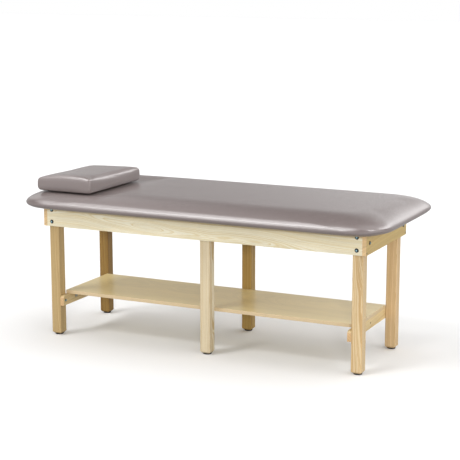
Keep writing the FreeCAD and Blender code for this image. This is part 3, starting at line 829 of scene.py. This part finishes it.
# How far the pillow is drawn in, in millimetres, at heights over its foot and at depths under its top.
pillow_foot = [(60, 0), (34, 3), (20, 3.6), (11, 4.8), (5, 8), (1.5, 15), (0, 26)]
pillow_shoulder = [(0, 40), (0.3, 18), (2, 12), (5, 7.5), (9, 4.4), (14, 2.2), (22, 0.6), (40, 0)]
foot_corner_share = 0.5
shoulder_corner_share = 0.25
pillow_crest = pillow_high.z - pillow_crown_room
pillow_rings = []
for drawn_in, height in pillow_foot:
    inset = drawn_in / mm_per_metre
    corner = pillow_corner + foot_corner_share * inset
    pillow_rings.append(pillow_ring(inset, pillow_low.z + height / mm_per_metre, corner))
for drawn_in, drop in pillow_shoulder:
    inset = drawn_in / mm_per_metre
    corner = pillow_corner + shoulder_corner_share * inset
    pillow_rings.append(pillow_ring(inset, pillow_crest - drop / mm_per_metre, corner))
pillow_cells = (10, 18, 6)
pillow = cushion("pillow", pillow_rings, pillow_cells, pillow_middle)
soften(pillow, 1)


def fill_pillow(mesh, crown, front_bulge, foot_rise):
    """The foam stands fuller in the middle, and most along the front edge between its corners."""
    half_way = (pillow_low.z + pillow_high.z) / 2
    full_height = pillow_high.z - 0.004
    bulge_reach = 0.35
    for vert in mesh.vertices:
        share = smooth_step(vert.co.z, half_way, full_height)
        along = min(max((vert.co.x - pillow_low.x) / pillow_length, 0.0), 1.0)
        across = min(max((vert.co.y - pillow_low.y) / pillow_width, 0.0), 1.0)
        rise = foot_rise * along + crown * math.sin(math.pi * along) * math.sin(math.pi * across)
        broad_arch = math.sin(math.pi * along ** 1.15) ** 0.6
        rise += front_bulge * broad_arch * math.exp(-((across / bulge_reach) ** 2))
        vert.co.z += rise * share


def is_resting(at):
    """The underside of the pillow, which lies on the pad."""
    touching = 0.001
    return at.z < pillow_low.z + touching


fill_pillow(pillow.data, crown=0.003, front_bulge=0.014, foot_rise=0.009)
swell(pillow, is_resting, pressure=0.5, stretch=20.0, most=0.003)
soften(pillow, 1)
pillow.data.materials.append(vinyl("pillow_vinyl", (126, 115, 113)))
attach(pillow, "pillow")
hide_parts("pillow_cover", "pillow_foam")


# Studio. A white sweep under far soft lamps, a row of them arching over the
# head end, and soft patches of light that only show as reflections.

def studio_floor():
    """A floor that looks white but for the shadow, yet throws back less than half of the light."""
    thrown_back = 0.46
    added_for_camera = 0.46
    made, tree, shader = new_finish("white_sweep")
    tree.nodes.remove(shader)
    plain = tree.nodes.new("ShaderNodeBsdfDiffuse")
    rays = tree.nodes.new("ShaderNodeLightPath")
    level = calc(tree, "MULTIPLY_ADD", rays.outputs["Is Camera Ray"], added_for_camera, thrown_back)
    grey = tree.nodes.new("ShaderNodeCombineColor")
    for socket in grey.inputs[:3]:
        feed(tree, socket, level)
    tree.links.new(grey.outputs[0], plain.inputs["Color"])
    tree.links.new(plain.outputs[0], tree.nodes["Material Output"].inputs["Surface"])
    return made


floor_reach = 40.0
floor_form = bmesh.new()
bmesh.ops.create_grid(floor_form, x_segments=1, y_segments=1, size=floor_reach)
floor_mesh = bpy.data.meshes.new("floor")
floor_form.to_mesh(floor_mesh)
floor_form.free()
floor = bpy.data.objects.new("floor", floor_mesh)
floor.data.materials.append(studio_floor())
bpy.context.scene.collection.objects.link(floor)


def far_lamp(name, towards, spread, level, mirrored=True):
    """A far soft lamp: towards points from the object to it, spread is its width in degrees.

    One that isn't mirrored only lights the piece, as a lamp behind a diffuser does.
    """
    data = bpy.data.lights.new(name, "SUN")
    data.angle = math.radians(spread)
    data.energy = level * math.pi
    lamp = bpy.data.objects.new(name, data)
    lamp.rotation_euler = Vector(towards).to_track_quat("Z", "Y").to_euler()
    lamp.visible_glossy = mirrored
    bpy.context.scene.collection.objects.link(lamp)


far_lamp("key_lamp", (0.45, -0.86, 0.24), 8.0, 0.37, mirrored=False)
far_lamp("foot_lamp", (0.93, -0.30, 0.20), 80.0, 0.40)
far_lamp("top_lamp", (0.35, 0.25, 0.90), 60.0, 0.26)
far_lamp("back_lamp", (0.17, 0.88, 0.45), 40.0, 0.05)
far_lamp("arch_lamp_1", (-0.42, -0.89, 0.18), 15.0, 0.02)
far_lamp("arch_lamp_2", (-0.42, -0.75, 0.53), 15.0, 0.15)
far_lamp("arch_lamp_3", (-0.42, -0.49, 0.77), 15.0, 0.18)
far_lamp("arch_lamp_4", (-0.42, -0.16, 0.90), 15.0, 0.08)


def sky_patch(tree, towards, aim, radius, level):
    """A soft round patch of light in the backdrop, radius in degrees, for reflections only."""
    near = tree.nodes.new("ShaderNodeVectorMath")
    near.operation = "DOT_PRODUCT"
    tree.links.new(towards, near.inputs[0])
    near.inputs[1].default_value = Vector(aim).normalized()
    edge = math.cos(math.radians(radius))
    return ramp(tree, near.outputs["Value"], edge, 1.0, 0.0, level)


world = bpy.data.worlds.new("studio")
bpy.context.scene.world = world
world.use_nodes = True
sky = world.node_tree
backdrop = sky.nodes["Background"]
rays = sky.nodes.new("ShaderNodeLightPath")
towards = sky.nodes.new("ShaderNodeTexCoord")
height = sky.nodes.new("ShaderNodeSeparateXYZ")
sky.links.new(towards.outputs["Generated"], height.inputs[0])
fades_up = ramp(sky, height.outputs["Z"], 0.15, 0.6, 0.62, 0.06)
brighter_arch = ramp(sky, height.outputs["X"], -0.45, -0.25, 1.0, 1.9)
dimmer_beyond = ramp(sky, height.outputs["X"], -0.25, -0.05, 1.0, 0.6)
sweep = calc(sky, "MULTIPLY", calc(sky, "MULTIPLY", fades_up, brighter_arch), dimmer_beyond)
# First the ones along the near roll, then round the foot corner, over the pillow, and a faint one behind.
for aim, radius, level in (
    ((-0.33, -0.45, 0.83), 16.0, 3.4),
    ((-0.53, -0.48, 0.70), 14.0, 1.6),
    ((-0.20, -0.28, 0.94), 13.0, 4.2),
    ((0.45, -0.11, 0.89), 12.0, 9.0),
    ((0.43, 0.50, 0.75), 12.0, 4.0),
    ((0.40, 0.68, 0.61), 12.0, 4.0),
    ((0.30, 0.82, 0.49), 12.0, 3.0),
    ((0.16, 0.91, 0.38), 11.0, 1.5),
    ((0.03, 0.94, 0.345), 10.0, 0.8),
    ((-0.58, -0.10, 0.81), 16.0, 2.0),
    ((-0.60, 0.30, 0.74), 18.0, 0.8),
    ((-0.66, 0.55, 0.51), 19.0, 1.2),
    ((-0.02, 0.84, 0.53), 20.0, 0.3),
):
    sweep = calc(sky, "ADD", sweep, sky_patch(sky, towards.outputs["Generated"], aim, radius, level))
room_light = 0.55
in_mirror = calc(sky, "MAXIMUM", rays.outputs["Is Glossy Ray"], rays.outputs["Is Transmission Ray"])
room = calc(sky, "MULTIPLY_ADD", in_mirror, calc(sky, "SUBTRACT", sweep, room_light), room_light)
to_white = calc(sky, "SUBTRACT", 1.0, room)
strength = calc(sky, "MULTIPLY_ADD", rays.outputs["Is Camera Ray"], to_white, room)
backdrop.inputs["Color"].default_value = (1.0, 1.0, 1.0, 1.0)
feed(sky, backdrop.inputs["Strength"], strength)

bpy.context.scene.view_settings.view_transform = "Standard"

eye = bpy.data.cameras.new("camera")
eye.lens = 104.8
eye.sensor_width = 36.0
camera = bpy.data.objects.new("camera", eye)
camera.location = (2.9295, -6.0768, 1.9138)
turn_left = 25.562
look_down = 11.10
camera.rotation_euler = (math.radians(90.0 - look_down), 0.0, math.radians(turn_left))
bpy.context.scene.collection.objects.link(camera)
bpy.context.scene.camera = camera
